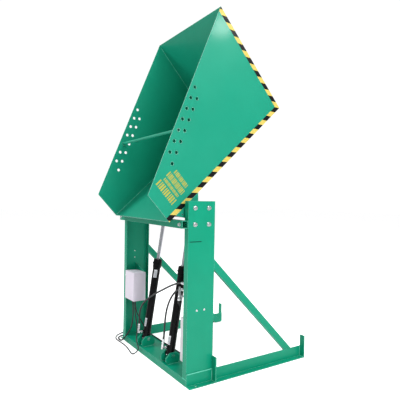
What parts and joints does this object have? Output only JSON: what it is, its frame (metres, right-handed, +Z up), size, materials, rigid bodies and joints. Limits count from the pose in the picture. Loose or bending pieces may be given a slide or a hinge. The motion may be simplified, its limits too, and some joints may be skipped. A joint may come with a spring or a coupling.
{
  "type": "hydraulic container dumper",
  "caption": "Bolted-down tipping frame whose steel chute is turned over by two hydraulic cylinders to empty a wheeled container, with its power unit and control box.",
  "frame": {"origin": "on the floor, in the middle of the four anchor holes of the two base legs", "axes": "+X across the machine to the power unit's side, +Y towards the loading side where the legs run, +Z up; the chute dumps towards -Y"},
  "size_m": [1.612, 1.6532, 3.2233],
  "materials": {
    "green_paint": "gloss enamel",
    "black_paint": "gloss",
    "chrome_rod": "polished",
    "zinc": "zinc plated",
    "bearing_cast": "painted",
    "bearing_steel": "ground",
    "shaft_steel": "turned",
    "box_grey": "textured powder coat",
    "hose_rubber": "matt",
    "cable_sheath": "matt",
    "black_plastic": "moulded",
    "tank_white": "moulded",
    "alloy": "milled",
    "button_green": "moulded",
    "button_red": "moulded"
  },
  "bodies": {
    "frame": {"base_channel": "green_paint", "base_clevis_plates": "green_paint", "base_pins": "zinc", "bearing_housing_left": "bearing_cast", "bearing_housing_right": "bearing_cast", "bearing_inserts": "bearing_steel", "brace_left": "green_paint", "brace_right": "green_paint", "cable_glands": "black_plastic", "contactor": "black_plastic", "control_box": "box_grey", "frame_bolts": "zinc", "gear_pump": "alloy", "hose_fittings": "zinc", "hose_left": "hose_rubber", "hose_right": "hose_rubber", "leg_guards": "green_paint", "leg_left": "green_paint", "leg_right": "green_paint", "lowering_valve": "zinc", "motor_cable": "cable_sheath", "pendant_housing": "black_plastic", "pendant_lead": "cable_sheath", "post_left": "green_paint", "post_right": "green_paint", "power_lead": "cable_sheath", "power_plug": "black_plastic", "pump_manifold": "alloy", "pump_motor": "black_paint", "reservoir": "tank_white", "solenoid_coil": "black_plastic", "top_beam": "green_paint", "valve_block": "alloy", "welded_brackets": "green_paint"},
    "chute": {"pivot_shaft": "shaft_steel", "chute_back": "green_paint", "chute_floor": "green_paint", "rod_lugs": "green_paint", "rod_pin_heads": "zinc", "chute_side_right": "green_paint", "chute_side_left": "green_paint", "hinge_ear_right": "green_paint", "hinge_ear_left": "green_paint"},
    "bar": {"retaining_bar": "green_paint"},
    "barrel_right": {"barrel_right": "black_paint", "gland_right": "black_paint", "hose_elbow_right": "zinc"},
    "rod_right": {"piston_right": "shaft_steel", "piston_rod_right": "chrome_rod", "rod_eye_right": "black_paint"},
    "barrel_left": {"barrel_left": "black_paint", "gland_left": "black_paint", "hose_elbow_left": "zinc"},
    "rod_left": {"piston_left": "shaft_steel", "piston_rod_left": "chrome_rod", "rod_eye_left": "black_paint"},
    "lid": {"control_box_lid": "box_grey"},
    "knob": {"lowering_knob": "black_plastic"},
    "raise": {"button_raise": "button_green"},
    "lower": {"button_lower": "button_red"}
  },
  "joints": [
    {"name": "chute_tilt", "type": "hinge", "parent": "frame", "child": "chute", "pos_m": [0, -0.53, 1.398], "axis": [1, 0, 0], "range_deg": [-132.2, 0]},
    {"name": "bar_slide", "type": "slide", "parent": "chute", "child": "bar", "axis": [1, 0, 0], "range_m": [0, 1.17]},
    {"name": "barrel_right_swing", "type": "hinge", "parent": "frame", "child": "barrel_right", "pos_m": [0.25, -0.584, 0.127], "axis": [1, 0, 0], "range_deg": [-0.05, 1.5], "deforming": ["hose_right"]},
    {"name": "rod_right_slide", "type": "slide", "parent": "barrel_right", "child": "rod_right", "axis": [0, 0.1527, 0.9883], "range_m": [-0.5813, 0]},
    {"name": "barrel_left_swing", "type": "hinge", "parent": "frame", "child": "barrel_left", "pos_m": [-0.25, -0.584, 0.127], "axis": [1, 0, 0], "range_deg": [-0.05, 1.5], "deforming": ["hose_left"]},
    {"name": "rod_left_slide", "type": "slide", "parent": "barrel_left", "child": "rod_left", "axis": [0, 0.1527, 0.9883], "range_m": [-0.5813, 0]},
    {"name": "lid_swing", "type": "hinge", "parent": "frame", "child": "lid", "pos_m": [-0.373, -0.644, 0.617], "axis": [0, 0, 1], "range_deg": [0, 110]},
    {"name": "knob_turn", "type": "hinge", "parent": "frame", "child": "knob", "pos_m": [0.472, -0.626, 0.65], "axis": [0, 0, 1], "range_deg": [0, 270]},
    {"name": "raise_press", "type": "slide", "parent": "frame", "child": "raise", "axis": [0, 0, -1], "range_m": [0, 0.004], "stiffness_N_per_m": 400, "springref_m": -0.002},
    {"name": "lower_press", "type": "slide", "parent": "frame", "child": "lower", "axis": [0, 0, -1], "range_m": [0, 0.004], "stiffness_N_per_m": 400, "springref_m": -0.002}
  ],
  "couplings": [
    {"joint": "barrel_right_swing", "follows": "chute_tilt", "ratio": -0.01084},
    {"joint": "rod_right_slide", "follows": "chute_tilt", "m_per_rad": 0.2515},
    {"joint": "barrel_left_swing", "follows": "chute_tilt", "ratio": -0.01084},
    {"joint": "rod_left_slide", "follows": "chute_tilt", "m_per_rad": 0.2515}
  ]
}
